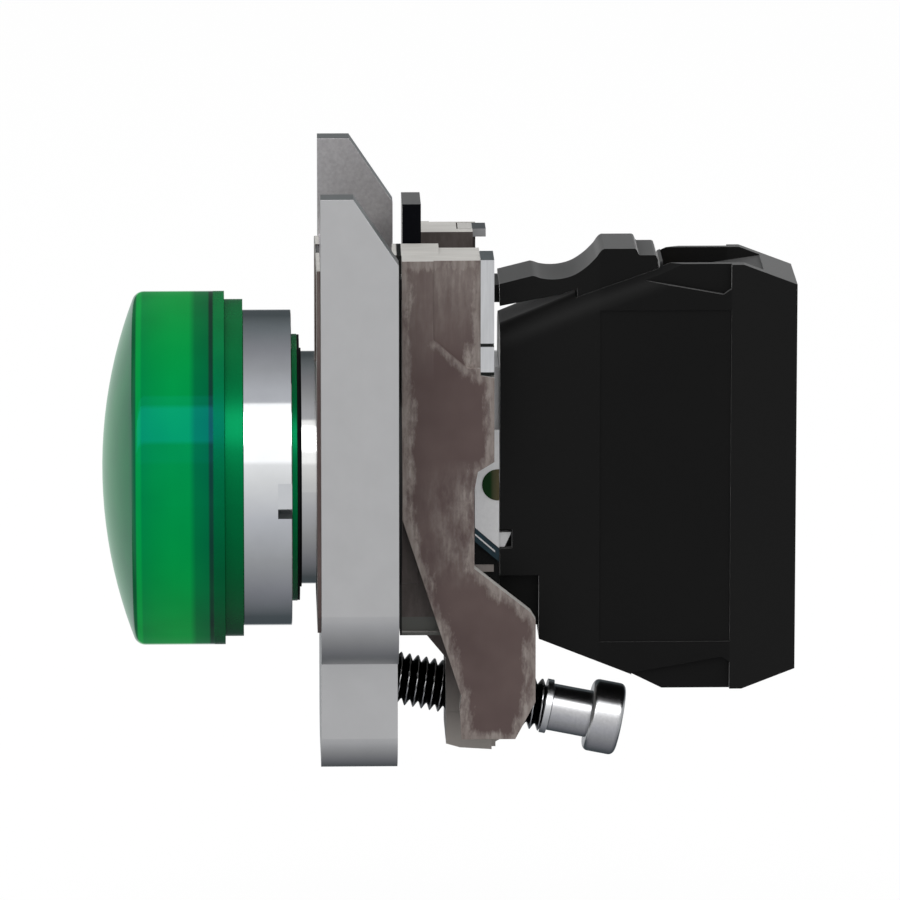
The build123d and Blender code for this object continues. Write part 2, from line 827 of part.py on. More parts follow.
def led_carrier():
    """Pale holder between the collar's legs that carries the lamp tube, with its snap lugs."""
    inner_x = collar_half_w - leg_t - slide_gap
    front_y = spigot_end_y + free_gap
    back_y = shell_front_y - run_gap
    w = carrier_back_half_w
    core_w = w - 1.0
    plate = box(-inner_x, inner_x, front_y, front_y + carrier_plate_t, -9.0, 9.0)
    plate += box(-core_w, core_w, front_y, back_y, -9.4, 9.0)
    cheek = [(front_y, 9.0), (front_y, -3.1), (back_y, -6.45), (back_y, 9.0)]
    bar = [(front_y, -3.4), (16.59, -6.4), (16.59, -6.7), (front_y, -3.7)]
    tab = [(front_y, -6.6), (15.3, -7.5), (16.57, -7.55), (16.57, -8.15), (front_y, -8.15)]
    lug = [(back_y - 1, -4.63), (17.96, -4.63), (17.39, -5.86), (back_y - 1, -5.86)]
    sides = side_plate(cheek, core_w - 0.5, w)
    sides += side_plate(bar, core_w - 0.5, w) + side_plate(tab, core_w - 0.5, w)
    sides += side_plate(lug, core_w, w) & box(0, 10, 0, back_y, -10, 0)
    sides += side_plate(lug, w, block_half_w - 0.3)
    sides -= Plane((w - 0.8, 16.93, -0.82), x_dir=(0, 1, 0), z_dir=(1, 0, 0)) * Cylinder(1.28, 4)
    plate += both_sides(sides)
    return plate - rod(tube_d + 2 * run_gap, front_y - 1, back_y + 1)


def led_tube():
    """Tube that carries the lamp forward into the head."""
    rear_y = 18.6
    tube = rod(tube_d, tube_front_y, rear_y)
    return tube - rod(tube_bore, tube_front_y - 1, rear_y - 1.0)


def led():
    """Light-emitting diode with a domed front, on its base in the tube."""
    dome_y = led_front_y + led_d / 2
    body = rod(led_d, dome_y, dome_y + 4.0) + Pos(0, dome_y, 0) * Sphere(led_d / 2)
    rim_d = tube_bore - 2 * run_gap
    return body + rod(rim_d, dome_y + 3.0, dome_y + 4.0)


def circuit_board():
    """Board that feeds the diode, standing in the middle of the block."""
    top_z = shell_half_h - 6.6
    outline = [
        (18.8, top_z - 2.4),
        (18.8, -6.4),
        (21.8, -6.4),
        (21.8, -top_z),
        (27.9, -top_z),
        (27.9, top_z),
        (shell_shoulder_y - free_gap, top_z),
    ]
    return side_plate(outline, -board_t / 2, board_t / 2)


def resistor(z):
    """Film resistor lying on the board."""
    return rod(resistor_d, 20.2, 26.2, x=board_t / 2 + resistor_d / 2, z=z)


def capacitor():
    """Round capacitor standing on the board."""
    disc = Plane((-board_t / 2, 23.6, 0), x_dir=(0, 1, 0), z_dir=(-1, 0, 0)) * Circle(capacitor_d / 2)
    return extrude(disc, amount=capacitor_t, dir=(-1, 0, 0))


def rectifier():
    """Bridge rectifier block on the board."""
    return box(board_t / 2, board_t / 2 + 2.2, 22.0, 27.2, -9.6, -6.0)


def terminal_bar(side):
    """Brass terminal with a foot to the board and a tapped hole for its screw."""
    low = terminal_z - washer_half_w - 0.5
    rear_y = terminal_bar_y + terminal_bar_t
    bar = box(-washer_half_w, washer_half_w, terminal_bar_y, rear_y, low, low + 6.0)
    bar += box(-2.0, 2.0, 28.0, rear_y, low + 0.5, low + 1.5)
    bar -= rod(terminal_screw_d + 2 * run_gap, terminal_bar_y - 1, rear_y + 1, z=terminal_z)
    return bar if side > 0 else mirror(bar, about=Plane.XY)


def washer_front_y():
    """Where the open clamp washer's front face lies."""
    return terminal_bar_y + terminal_bar_t + terminal_open


def clamp_washer(side):
    """Square washer that presses the wire on to the terminal."""
    y0 = washer_front_y()
    low = terminal_z - washer_half_h
    high = terminal_z + washer_half_h
    washer = box(-washer_half_w, washer_half_w, y0, y0 + washer_t, low, high)
    washer -= rod(terminal_screw_d + 2 * slide_gap, y0 - 1, y0 + 2, z=terminal_z)
    return washer if side > 0 else mirror(washer, about=Plane.XY)


def terminal_screw(side):
    """Terminal screw with a slotted head that faces the rear."""
    head_y = washer_front_y() + washer_t + run_gap
    tip_y = head_y + terminal_head_len - terminal_screw_len
    screw = rod(terminal_screw_d, tip_y, head_y, z=terminal_z)
    head = rod(terminal_head_d, head_y, head_y + terminal_head_len, z=terminal_z)
    head = fillet(head.edges().filter_by(GeomType.CIRCLE).sort_by(Axis.Y)[-1], 0.3)
    end_y = head_y + terminal_head_len
    slot_z = terminal_slot_w / 2
    slot = box(-4, 4, end_y - 0.9, end_y + 1, terminal_z - slot_z, terminal_z + slot_z)
    screw = screw + head - slot
    return screw if side > 0 else mirror(screw, about=Plane.XY)


shells = shell_pair()
parts = {
    "lens_cap": lens_cap(),
    "lens_carrier": lens_carrier(),
    "diffuser": diffuser(),
    "bezel": bezel(),
    "locating_ring": locating_ring(),
    "panel_seal": panel_seal(),
    "neck_sleeve": neck_sleeve(),
    "plate_facing": plate_facing(),
    "clamp_plate": clamp_plate(),
    "collar_body": collar_body(),
    "locking_ring": locking_ring(),
    "rail_strip_right": rail_strip(),
    "rail_strip_left": far_strip(),
    "clamp_screw": clamp_screw(),
    "screw_ring": screw_ring(),
    "block_housing": half_of(shells, -1),
    "block_cover": half_of(shells, 1),
    "release_latch": release_latch(),
    "latch_pin": latch_pin(),
    "led_carrier": led_carrier(),
    "led_tube": led_tube(),
    "led": led(),
    "circuit_board": circuit_board(),
    "upper_resistor": resistor(4.6),
    "lower_resistor": resistor(0.6),
    "capacitor": capacitor(),
    "rectifier": rectifier(),
    "upper_terminal_bar": terminal_bar(1),
    "lower_terminal_bar": terminal_bar(-1),
    "upper_clamp_washer": clamp_washer(1),
    "lower_clamp_washer": clamp_washer(-1),
    "upper_terminal_screw": terminal_screw(1),
    "lower_terminal_screw": terminal_screw(-1),
}

os.makedirs("parts", exist_ok=True)
for node_name, shape in parts.items():
    export_step(shape, f"parts/{node_name}.step")
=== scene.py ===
import math

import bmesh
import bpy
from mathutils import Matrix, Vector


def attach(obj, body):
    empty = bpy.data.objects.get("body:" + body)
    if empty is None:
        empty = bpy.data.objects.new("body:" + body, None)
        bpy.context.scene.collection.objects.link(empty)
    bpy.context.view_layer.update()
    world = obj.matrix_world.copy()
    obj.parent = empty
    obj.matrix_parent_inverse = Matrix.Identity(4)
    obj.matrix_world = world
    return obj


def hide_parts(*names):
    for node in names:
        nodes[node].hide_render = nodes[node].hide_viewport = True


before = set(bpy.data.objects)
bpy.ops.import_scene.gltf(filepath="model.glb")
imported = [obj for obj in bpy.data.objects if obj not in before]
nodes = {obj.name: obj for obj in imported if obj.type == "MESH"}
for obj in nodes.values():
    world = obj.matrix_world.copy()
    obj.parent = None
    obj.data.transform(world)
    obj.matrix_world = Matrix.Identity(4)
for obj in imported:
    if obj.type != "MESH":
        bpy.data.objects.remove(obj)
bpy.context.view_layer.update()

MM = 0.001

# The tilted clamping screw in millimetres: its axis from the thread's tip, then its sizes
TILT = math.radians(11.4)
AXIS_Y, AXIS_Z = 10.57, -18.2
TIP_Y = 7.8
TIP = Vector((0, TIP_Y, AXIS_Z - (TIP_Y - AXIS_Y) * math.tan(TILT)))
ALONG = Vector((0, math.cos(TILT), -math.sin(TILT)))
THREAD_R = 2.15
ROOT_R = 1.62
PITCH = 0.7
THREAD_LEN = 13.15
GROOVE_LEN = 0.6
GROOVE_R = 1.5
SHANK_R = 1.95
HEAD_START = THREAD_LEN + 3.8
HEAD_LEN = 2.7
HEAD_R = 3.0
CROSS_LEN = 3.4
CROSS_W = 0.9
CROSS_DEPTH = 1.5

# Side view (Y, Z) in millimetres of a leg's broad face and its raised panel's edge, and that edge's slope
LEG_LINES = [
    (8.93, 18.6), (15.2, 18.6), (15.2, 9.5), (16.42, 9.22), (16.42, 2.25), (15.08, 1.42), (14.8, -6.63),
    (19.37, -10.3), (19.8, -11.0), (19.8, -17.8), (18.15, -20.92), (13.74, -20.92), (13.74, -17.3),
    (8.95, -2.52), (8.93, 18.6),
]
PANEL_LINES = [(11.49, 18.6), (11.49, 12.34), (14.2, 10.0)]
PANEL_SLOPE = 0.863


def linear(code):
    """An sRGB hex value as linear red, green, blue and alpha."""
    parts = [int(code[i:i + 2], 16) / 255 for i in (1, 3, 5)]
    return [p / 12.92 if p <= 0.04045 else ((p + 0.055) / 1.055) ** 2.4 for p in parts] + [1.0]


def add(tree, kind, inputs=None, **settings):
    """Adds a node with its settings, and sets or links its inputs."""
    made = tree.nodes.new(kind)
    for name, value in settings.items():
        setattr(made, name, value)
    for name, value in (inputs or {}).items():
        socket = made.inputs[name]
        if isinstance(value, bpy.types.NodeSocket):
            tree.links.new(value, socket)
        else:
            socket.default_value = value
    return made


def ramp(tree, value, stops):
    """A colour ramp over a value, from places and hex colours."""
    made = add(tree, "ShaderNodeValToRGB", {"Fac": value})
    elements = made.color_ramp.elements
    while len(elements) < len(stops):
        elements.new(0.5)
    for element, (place, code) in zip(elements, stops):
        element.position = place
        element.color = linear(code)
    return made.outputs["Color"]


def span(tree, value, stops):
    """A colour ramp whose places are in the value's own unit, such as millimetres or degrees."""
    low, high = stops[0][0], stops[-1][0]
    scaled = [((place - low) / (high - low), code) for place, code in stops]
    return ramp(tree, levels(tree, value, low, high), scaled)


def levels(tree, value, low, high, to_low=0.0, to_high=1.0):
    """A value stretched from one span to another and held inside it."""
    settings = {"Value": value, "From Min": low, "From Max": high, "To Min": to_low, "To Max": to_high}
    return add(tree, "ShaderNodeMapRange", settings).outputs["Result"]


def maths(tree, operation, first, second=0.0):
    """One sum on two values."""
    return add(tree, "ShaderNodeMath", {0: first, 1: second}, operation=operation).outputs[0]


def product(tree, first, *others):
    """Values multiplied together."""
    for other in others:
        first = maths(tree, "MULTIPLY", first, other)
    return first


def strongest(tree, first, *others):
    """The largest of several values."""
    for other in others:
        first = maths(tree, "MAXIMUM", first, other)
    return first


def blend(tree, share, first, second):
    """Two colours mixed by a share."""
    mixed = add(tree, "ShaderNodeMix", data_type="RGBA")
    for name, value in ((0, share), (6, first), (7, second)):
        if isinstance(value, bpy.types.NodeSocket):
            tree.links.new(value, mixed.inputs[name])
        else:
            mixed.inputs[name].default_value = value
    return mixed.outputs[2]


def place(tree, stretch=(1, 1, 1)):
    """Object coordinates in millimetres, with each axis stretched."""
    where = add(tree, "ShaderNodeTexCoord").outputs["Object"]
    scale = [s / MM for s in stretch]
    return add(tree, "ShaderNodeMapping", {"Vector": where, "Scale": scale}).outputs["Vector"]


def along(tree, axis):
    """The place along one axis in millimetres."""
    return add(tree, "ShaderNodeSeparateXYZ", {"Vector": place(tree)}).outputs[axis]


def facing(tree, axis):
    """How squarely a surface faces along one axis, either way."""
    normal = add(tree, "ShaderNodeTexCoord").outputs["Normal"]
    part = add(tree, "ShaderNodeSeparateXYZ", {"Vector": normal}).outputs[axis]
    return maths(tree, "ABSOLUTE", part)


def grain(tree, size_mm, stretch=(1, 1, 1), detail=3.0, rough=0.55, seed=0.0):
    """Noise whose patches are about a given size, stretched along chosen axes."""
    shifted = add(tree, "ShaderNodeMapping", {
        "Vector": place(tree, stretch), "Location": (seed, seed * 1.7, seed * 0.6),
    })
    settings = {
        "Vector": shifted.outputs["Vector"], "Scale": 1 / size_mm, "Detail": detail, "Roughness": rough,
    }
    return add(tree, "ShaderNodeTexNoise", settings).outputs["Fac"]


def outline_distance(tree, outline):
    """Millimetres from a point to the nearest line of an outline drawn in the side view (Y, Z)."""
    flat = add(tree, "ShaderNodeVectorMath", operation="MULTIPLY")
    tree.links.new(place(tree), flat.inputs[0])
    flat.inputs[1].default_value = (0, 1, 1)
    nearest = None
    for (y0, z0), (y1, z1) in zip(outline, outline[1:]):
        run = Vector((0, y1 - y0, z1 - z0))
        from_start = add(tree, "ShaderNodeVectorMath", operation="SUBTRACT")
        tree.links.new(flat.outputs[0], from_start.inputs[0])
        from_start.inputs[1].default_value = (0, y0, z0)
        dot = add(tree, "ShaderNodeVectorMath", operation="DOT_PRODUCT")
        tree.links.new(from_start.outputs[0], dot.inputs[0])
        dot.inputs[1].default_value = run / run.length_squared
        share = levels(tree, dot.outputs["Value"], 0.0, 1.0)
        reached = add(tree, "ShaderNodeVectorMath", {"Scale": share}, operation="SCALE")
        reached.inputs[0].default_value = run
        apart = add(tree, "ShaderNodeVectorMath", operation="DISTANCE")
        tree.links.new(from_start.outputs[0], apart.inputs[0])
        tree.links.new(reached.outputs[0], apart.inputs[1])
        far = apart.outputs["Value"]
        nearest = far if nearest is None else maths(tree, "MINIMUM", nearest, far)
    return nearest


def finish_of(name, parts):
    """A material whose shader is made by parts, a function that is given its node tree."""
    material = bpy.data.materials.new(name)
    material.use_nodes = True
    tree = material.node_tree
    tree.nodes.clear()
    shader = parts(tree)
    add(tree, "ShaderNodeOutputMaterial", {"Surface": shader.outputs[0]})
    return material


def principled(tree, colour, roughness, **inputs):
    """The main shader, with input names written with underscores for spaces."""
    named = {name.replace("_", " "): value for name, value in inputs.items()}
    return add(tree, "ShaderNodeBsdfPrincipled", {"Base Color": colour, "Roughness": roughness, **named})


def bumps(tree, height, depth_mm, strength=1.0, normal=None):
    """A bump of a real depth from a height between 0 and 1."""
    inputs = {"Height": height, "Strength": strength, "Distance": depth_mm * MM}
    if normal is not None:
        inputs["Normal"] = normal
    return add(tree, "ShaderNodeBump", inputs).outputs["Normal"]


def eased(tree, radius_mm):
    """A normal that rounds sharp edges by a real radius."""
    return add(tree, "ShaderNodeBevel", {"Radius": radius_mm * MM}, samples=6).outputs["Normal"]


def clear_green_polycarbonate(tree):
    """Polished and dyed through. Its colour is painted in bands along its axis, with painted shade and a
    painted highlight at the rounded front edge.
    In front of the threaded rear it glows, a painted glow that stands in for light passing through the lens;
    the rear has no glow."""
    depth = along(tree, "Y")
    # Painted bands along the axis: painted shade and a painted highlight at the rounded front edge, a
    # painted glow along the skirt, and a dark line before the rear band
    body = span(tree, depth, [
        (-15.5, "#017438"), (-13.2, "#016433"), (-12.95, "#01552F"), (-12.66, "#01552D"),
        (-12.55, "#01993D"), (-12.25, "#019A3E"), (-12.1, "#01833A"), (-11.2, "#018B39"),
        (-9.6, "#01943B"), (-8.3, "#01943B"), (-7.8, "#016A31"), (-6.78, "#016230"),
        (-6.64, "#14231A"), (-6.4, "#14231A"), (-6.3, "#016B30"), (-5.4, "#016B30"),
    ])
    dye = ramp(tree, grain(tree, 4.0, detail=1.0), [(0.3, "#004A20"), (0.7, "#02B050")])
    banded_glow_and_dye = blend(tree, 0.08, body, dye)
    # In front of the rear band most of the colour is a painted glow standing in for light passing through
    # the lens; the rear band keeps its plain colour without glow
    rear = levels(tree, depth, -6.4, -6.3)
    black = linear("#000000")
    glow = blend(tree, rear, banded_glow_and_dye, black)
    own = blend(tree, levels(tree, rear, 0.0, 1.0, 0.25, 1.0), black, banded_glow_and_dye)
    return principled(
        tree, own, levels(tree, rear, 0.0, 1.0, 0.04, 0.26), IOR=1.5, Specular_Tint=linear("#18C8F0"),
        Emission_Color=glow, Emission_Strength=0.7,
    )


def green_polycarbonate(tree):
    """The same dye in a thick moulding: opaque to the eye, with a soft gloss."""
    tint = ramp(tree, grain(tree, 4.0, detail=1.0), [(0.3, "#015A29"), (0.7, "#01622E")])
    return principled(
        tree, tint, 0.26, IOR=1.58, Specular_IOR_Level=1.0, Specular_Tint=linear("#18F8A0"),
        Normal=eased(tree, 0.1),
    )


def milky_polycarbonate(tree):
    """Light scattering cup: white, satin, evenly bright."""
    tint = ramp(tree, grain(tree, 5.0, detail=1.0), [(0.3, "#E6EDE8"), (0.7, "#F0F4F0")])
    return principled(tree, tint, 0.45, IOR=1.58)


def bright_chrome(tree):
    """Chromium plate over a turned brass ring: near mirror, with the lathe's finest rings left in it.
    The rings are drawn coarser than real ones, so that they show."""
    turned = grain(tree, 0.12, stretch=(0.05, 1.0, 0.05), detail=1.0)
    rough = levels(tree, turned, 0.3, 0.7, 0.05, 0.09)
    tint = ramp(tree, grain(tree, 3.0), [(0.3, "#E2E4E6"), (0.7, "#E8EAEC")])
    # Painted shade on the notch's floor: dark grey, and neither metallic nor glossy there
    in_notch = levels(tree, maths(tree, "ABSOLUTE", along(tree, "Z")), 1.5, 1.46)
    notch_floor_shade = product(tree, in_notch, levels(tree, facing(tree, "Z"), 0.8, 0.9))
    tint = blend(tree, notch_floor_shade, tint, linear("#4C4F50"))
    plated = levels(tree, notch_floor_shade, 0.0, 1.0, 1.0, 0.0)
    gloss = levels(tree, plated, 0.0, 1.0, 0.0, 0.5)
    return principled(tree, tint, rough, Metallic=plated, Specular_IOR_Level=gloss)


def turned_neck(tree):
    """The neck's plating, thinner and a little duller than the bezel's, over the same lathe rings."""
    turned = grain(tree, 0.12, stretch=(0.05, 1.0, 0.05), detail=1.0)
    tint = ramp(tree, grain(tree, 3.0), [(0.3, "#D3D3D2"), (0.7, "#D9D9D8")])
    return principled(tree, tint, levels(tree, turned, 0.3, 0.7, 0.07, 0.11), Metallic=1.0)


def nitrile_rubber(tree):
    """Moulded black rubber with a dull skin."""
    skin = grain(tree, 0.25, detail=2.0)
    tint = ramp(tree, skin, [(0.3, "#08080A"), (0.7, "#0E0F10")])
    return principled(tree, tint, 0.7, Specular_IOR_Level=0.15, Normal=bumps(tree, skin, 0.02))


def raw_zinc_casting(tree):
    """Zinc alloy as it left the die: brown-grey on the broad side faces, rubbed pale in patches along their
    edges, and painted pale on the faces that don't face sideways: painted light for the strong light from
    above on the tops."""
    clouds = grain(tree, 4.0, detail=2.0)
    mottle = grain(tree, 1.3, stretch=(1.0, 1.0, 0.4), detail=6.0, rough=0.7, seed=3.0)
    streaks = grain(tree, 0.35, stretch=(1.0, 1.0, 0.12), detail=2.0, seed=5.0)
    wide, high = along(tree, "Y"), along(tree, "Z")
    core = ramp(tree, clouds, [(0.3, "#5D4D4B"), (0.7, "#695956")])
    pale = ramp(tree, streaks, [(0.3, "#8E837E"), (0.7, "#AAA19B")])

    # Wear on the rim, below the raised panel's edge, up the panel and strip, and at the middle
    ragged = levels(tree, mottle, 0.3, 0.7, -0.35, 1.15)
    rim = levels(tree, maths(tree, "SUBTRACT", outline_distance(tree, LEG_LINES), ragged), 0.55, -0.15)
    below_panel = maths(tree, "SUBTRACT", outline_distance(tree, PANEL_LINES), ragged)
    across = maths(tree, "ADD", high, product(tree, wide, PANEL_SLOPE))
    outside = product(tree, levels(tree, across, 22.3, 22.2), levels(tree, high, 12.6, 11.9))
    step = product(tree, levels(tree, below_panel, 0.35, -0.35, 0.0, 0.7), outside)
    panel = product(tree, levels(tree, high, 11.0, 17.0, 0.0, 0.7), levels(tree, wide, 11.45, 11.52))
    strip = product(tree, levels(tree, high, 9.0, 14.0, 0.0, 0.35), levels(tree, wide, 11.52, 11.45))
    middle = product(tree, levels(tree, high, -8.5, -5.5), levels(tree, high, 2.5, -0.5))
    patch = product(tree, middle, levels(tree, wide, 10.5, 14.0, 0.1, 0.85), levels(tree, mottle, 0.35, 0.6))
    worn = strongest(tree, rim, step, panel, strip, patch)
    skin = blend(tree, product(tree, worn, levels(tree, mottle, 0.3, 0.62, 0.35, 1.0)), core, pale)

    # Inside of the legs: darker, with a grey band and a pale foot
    inner = levels(tree, maths(tree, "ABSOLUTE", along(tree, "X")), 8.4, 8.2)
    skin = blend(tree, inner, skin, ramp(tree, mottle, [(0.35, "#4C4542"), (0.65, "#605856")]))
    band = product(tree, levels(tree, high, -10.9, -10.95), levels(tree, high, -12.9, -12.8), inner)
    skin = blend(tree, band, skin, linear("#5E5F5B"))
    foot = product(tree, levels(tree, high, -16.0, -22.0), inner)
    skin = blend(tree, foot, skin, linear("#A59F9A"))

    # Faces that don't face sideways are painted pale, painted light for the strong light on the tops, apart
    # from the small face of the leg's step
    brushed = grain(tree, 0.5, stretch=(1.0, 0.12, 1.0), detail=2.0, seed=7.0)
    painted_top_light = ramp(tree, brushed, [(0.3, "#AFADA9"), (0.7, "#BBB9B5")])
    step_face = product(
        tree, levels(tree, high, 12.4, 12.3), levels(tree, high, 9.7, 9.8),
        levels(tree, wide, 15.1, 15.0), levels(tree, wide, 11.3, 11.4),
    )
    narrow = levels(tree, facing(tree, "X"), 0.75, 0.35)
    narrow = product(tree, narrow, levels(tree, step_face, 0.0, 1.0, 1.0, 0.0))
    tint = blend(tree, narrow, skin, painted_top_light)

    # Painted shade in front, black in the gap where the plate closes on the collar
    seam_shade = product(tree, levels(tree, wide, 8.95, 8.9), levels(tree, wide, 8.5, 8.6))
    tint = blend(tree, seam_shade, tint, linear("#0C0C0C"))
    pitted = bumps(tree, grain(tree, 0.3, detail=3.0), 0.015, 0.4, eased(tree, 0.06))
    rough = levels(tree, mottle, 0.3, 0.7, 0.5, 0.62)
    return principled(tree, tint, rough, Specular_IOR_Level=0.3, Normal=pitted)


def grey_coated_zinc(tree):
    """Zinc casting, tumbled and plated matt: smooth, even, satin grey, duller inside its walls."""
    faint = grain(tree, 2.5, detail=4.0)
    tint = ramp(tree, faint, [(0.3, "#C7C7C7"), (0.7, "#CBCBCB")])
    inside = levels(tree, maths(tree, "ABSOLUTE", along(tree, "X")), 12.8, 12.65)
    upper = levels(tree, along(tree, "Z"), -2.0, 4.0)
    cast = ramp(tree, grain(tree, 0.3, detail=4.0, seed=2.0), [(0.3, "#B8B5B7"), (0.7, "#CAC8C9")])
    tint = blend(tree, product(tree, inside, upper), tint, cast)
    flat = levels(tree, facing(tree, "Z"), 0.6, 0.9, 1.0, 0.92)
    return principled(tree, tint, 0.38, Metallic=flat, Normal=eased(tree, 0.05))


def black_polyamide(tree):
    """Moulded black nylon of the lever: blue-black with a low sheen."""
    faint = grain(tree, 0.3, detail=2.0)
    tint = ramp(tree, faint, [(0.3, "#020307"), (0.7, "#05060B")])
    return principled(
        tree, tint, 0.42, Specular_IOR_Level=0.05, Sheen_Weight=0.6, Sheen_Roughness=0.3,
        Normal=bumps(tree, faint, 0.008, 0.3, eased(tree, 0.12)),
    )


def black_glass_filled_polyamide(tree):
    """Moulded black nylon with glass fibre: fine spark-eroded grain, dull, the plain field on the
    side a little darker and the terminal end a little greyer. The grain is drawn coarser than the
    real one, so that it shows."""
    eroded = grain(tree, 0.14, detail=2.0)
    field = span(tree, along(tree, "Y"), [
        (16.0, "#131313"), (25.1, "#131313"), (25.2, "#0F0F0F"), (35.8, "#0F0F0F"), (35.9, "#171717"),
        (42.0, "#171717"),
    ])
    clouds = grain(tree, 7.0, detail=2.0, seed=5.0)
    tint = blend(tree, levels(tree, clouds, 0.3, 0.7, 0.0, 0.12), field, linear("#1C1C1A"))
    return principled(
        tree, tint, 0.5, Specular_IOR_Level=0.1, Sheen_Weight=0.6, Sheen_Roughness=0.3,
        Normal=bumps(tree, eroded, 0.012, 0.4, eased(tree, 0.04)),
    )


def drawn_zinc(tree):
    """Colour and roughness of drawn steel under a bright zinc plate. Its faint drawing lines are
    wider than real ones, so that they show."""
    drawn = grain(tree, 0.2, stretch=(1.0, 1.0, 0.08), detail=2.0)
    tint = ramp(tree, drawn, [(0.3, "#D8D9DA"), (0.7, "#E2E3E4")])
    return tint, levels(tree, drawn, 0.3, 0.7, 0.28, 0.34)


def zinc_plated_steel(tree):
    """Pressed or turned steel with a bright zinc plate: bluish white with faint drawing lines."""
    tint, rough = drawn_zinc(tree)
    return principled(tree, tint, rough, Metallic=1.0)


def creased_steel(tree):
    """The near rail's plated strip, with painted shade along the crease above its foot and a painted shadow
    along its lower edge.
    """
    tint, rough = drawn_zinc(tree)
    low = along(tree, "Z")
    # Painted shade: a dark band along the crease, and a painted shadow along the lower edge
    crease = product(tree, levels(tree, low, 11.72, 11.77), levels(tree, low, 12.05, 12.0))
    dark = strongest(tree, crease, levels(tree, low, 9.68, 9.63))
    return principled(tree, blend(tree, dark, tint, linear("#282A29")), rough, Metallic=1.0)


def let_in_steel(tree):
    """The far rail's strip: plated end behind the rail, and the casting's own skin where it is let in."""
    rear = levels(tree, along(tree, "Y"), 14.95, 15.0)
    tint = blend(tree, rear, linear("#BCBAB6"), linear("#C4C4C5"))
    return principled(tree, tint, 0.34, Metallic=rear)


def screw_steel(tree):
    """The clamping screw: bright plate on shank and head, and painted shade in its thread below the crests.
    """
    where = add(tree, "ShaderNodeTexCoord").outputs["Object"]
    local = add(tree, "ShaderNodeMapping", {
        "Vector": where, "Location": tuple(-c for c in TIP * MM),
    }, vector_type="POINT").outputs["Vector"]
    turned = add(tree, "ShaderNodeVectorRotate", {
        "Vector": local, "Axis": (1.0, 0.0, 0.0), "Angle": TILT,
    }).outputs["Vector"]
    parts = add(tree, "ShaderNodeSeparateXYZ", {"Vector": turned}).outputs
    squares = [product(tree, parts[axis], parts[axis]) for axis in ("X", "Z")]
    out = maths(tree, "SQRT", maths(tree, "ADD", *squares))
    low = levels(tree, out, (THREAD_R - 0.1) * MM, (THREAD_R - 0.02) * MM, 1.0, 0.0)
    on_thread = levels(tree, parts["Y"], (THREAD_LEN + 0.1) * MM, THREAD_LEN * MM)
    # Painted shade in the thread's valleys, below the crests
    dark = product(tree, low, on_thread)
    drawn = grain(tree, 0.2, detail=2.0)
    bright = ramp(tree, drawn, [(0.3, "#C6C6C8"), (0.7, "#CECED0")])
    tint = blend(tree, dark, bright, linear("#0A0A0B"))
    return principled(tree, tint, 0.24, Metallic=1.0)


def window_glass(tree):
    """The lamp holder's inspection window: deep green, tan where the board's edge shows behind it."""
    behind = span(tree, along(tree, "Y"), [
        (15.6, "#032B06"), (16.2, "#052F0A"), (16.5, "#4A4A34"), (17.0, "#5A5138"),
    ])
    return principled(tree, behind, 0.3, Specular_IOR_Level=0.1)


def shaded_tab(tree):
    """Nylon of the small tab low in the holder, grey in painted shade."""
    tint = ramp(tree, grain(tree, 1.0, detail=2.0), [(0.3, "#8E8784"), (0.7, "#9A928E")])
    return principled(tree, tint, 0.5, Specular_IOR_Level=0.3)


def teal_painted_shade(tree):
    """Teal-black painted shade on a strip under the holder's cheek."""
    tint = ramp(tree, grain(tree, 1.0, detail=2.0), [(0.3, "#122A34"), (0.7, "#173440")])
    return principled(tree, tint, 0.4, Specular_IOR_Level=0.3)


def spring_steel(tree):
    """Drawn spring wire and strip, dark grey, with its drawing lines widened to show."""
    drawn = grain(tree, 0.15, stretch=(1.0, 0.1, 1.0), detail=2.0)
    tint = ramp(tree, drawn, [(0.3, "#5E6063"), (0.7, "#77797B")])
    return principled(tree, tint, 0.3, Metallic=1.0)


def pale_polyamide(tree):
    """Light grey nylon moulding, satin."""
    faint = grain(tree, 0.3, detail=2.0)
    tint = ramp(tree, faint, [(0.3, "#E0E0E1"), (0.7, "#E6E6E7")])
    return principled(tree, tint, 0.42, IOR=1.53, Normal=bumps(tree, faint, 0.008, 0.5, eased(tree, 0.05)))


def green_epoxy(tree):
    """The diode's cast lens, tinted green and clear enough to glow."""
    tint = ramp(tree, grain(tree, 1.5, detail=1.0), [(0.3, "#5FC77A"), (0.7, "#7ED894")])
    return principled(tree, tint, 0.08, IOR=1.53, Transmission_Weight=0.4)


def glass_epoxy_board(tree):
    """Woven glass in epoxy under green solder resist: the weave shows faintly."""
    weave = grain(tree, 0.35, stretch=(1.0, 1.0, 0.4), detail=1.0)
    tint = ramp(tree, weave, [(0.3, "#0F463E"), (0.7, "#17584E")])
    return principled(tree, tint, 0.28, IOR=1.55, Normal=bumps(tree, weave, 0.01))


def lacquered_film_resistor(tree):
    """Tan lacquer over a ceramic rod, with its four painted value rings."""
    half_spacing = 1.1
    wave = maths(tree, "PINGPONG", along(tree, "Y"), half_spacing)
    ring = levels(tree, wave, 0.72, 0.78)
    paint = ramp(
        tree, grain(tree, 1.4, stretch=(0.01, 1.0, 0.01), detail=0.0),
        [(0.35, "#7A3B20"), (0.5, "#8A1F1C"), (0.65, "#C77A20")],
    )
    return principled(tree, blend(tree, ring, linear("#CDB98F"), paint), 0.3, IOR=1.5)


def dipped_ceramic(tree):
    """Ochre epoxy dipped over a ceramic disc: glossy and slightly uneven."""
    wavy = grain(tree, 1.2, detail=1.0)
    tint = ramp(tree, wavy, [(0.3, "#AD6A18"), (0.7, "#C27E26")])
    return principled(tree, tint, 0.2, IOR=1.5, Normal=bumps(tree, wavy, 0.05))


def stamped_brass(tree):
    """Brass strip, stamped and barrel polished, with its rolling lines widened to show."""
    rolled = grain(tree, 0.2, stretch=(1.0, 0.1, 1.0), detail=2.0)
    tint = ramp(tree, rolled, [(0.3, "#BE9740"), (0.7, "#D2AE58")])
    return principled(tree, tint, 0.25, Metallic=1.0, Normal=eased(tree, 0.1))


